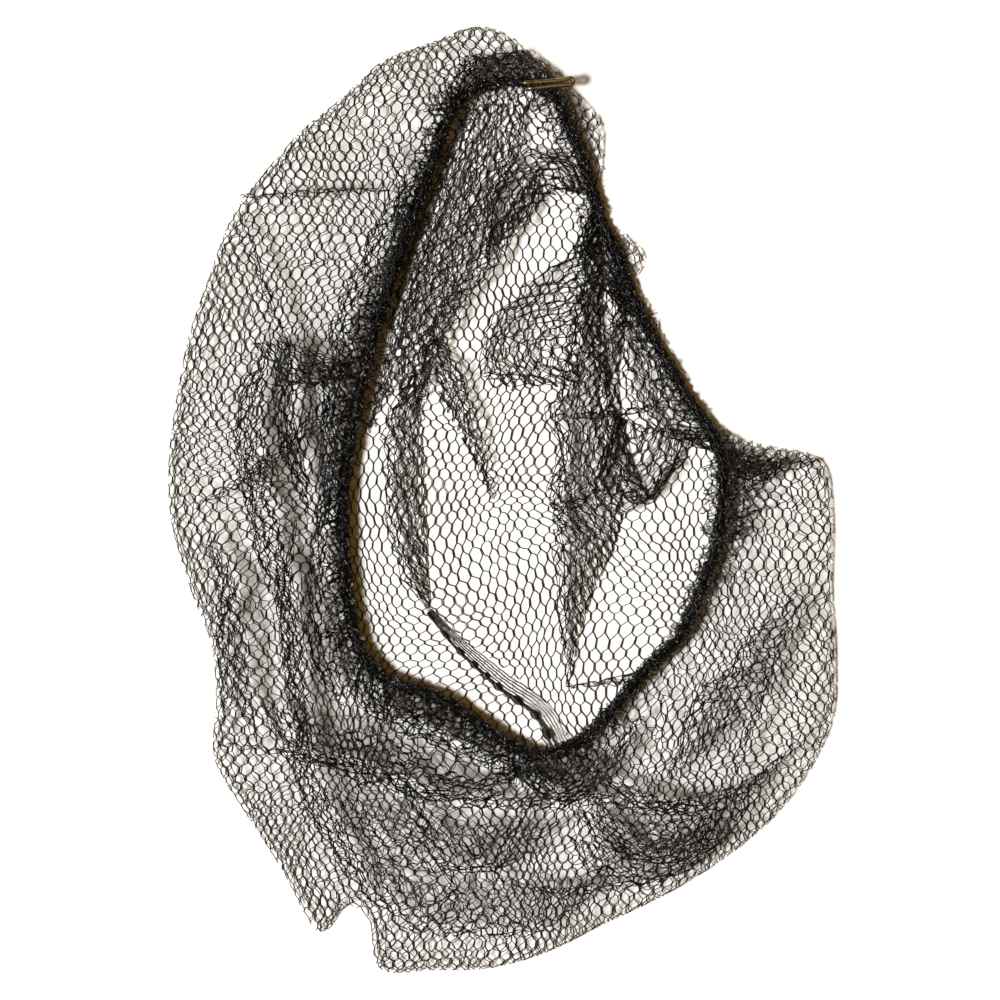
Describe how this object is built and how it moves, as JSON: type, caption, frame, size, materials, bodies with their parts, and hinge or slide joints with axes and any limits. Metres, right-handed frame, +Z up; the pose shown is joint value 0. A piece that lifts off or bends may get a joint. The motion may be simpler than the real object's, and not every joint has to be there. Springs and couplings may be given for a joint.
{
  "type": "hairnet",
  "caption": "Black nylon hairnet lying crown down: a thin netting pouch gathered onto an elastic edge, with a knitted crown seam and a small wire clip.",
  "frame": {"origin": "on the surface the net lies on, at the middle of its outline", "axes": "+Z up out of the open side, +Y along the net's length towards the clip, +X across it"},
  "size_m": [0.2002, 0.2836, 0.0164],
  "materials": {
    "nylon_netting": "knitted nylon filament netting, slightly shiny",
    "covered_elastic": "elastic cord in tightly gathered netting",
    "knitted_seam": "dense ribbed nylon knit with a sheen",
    "brass_wire": "aged bright wire"
  },
  "bodies": {
    "root": {"net": "nylon_netting", "elastic": "covered_elastic", "seam_strip": "knitted_seam", "clip": "brass_wire"}
  },
  "joints": []
}
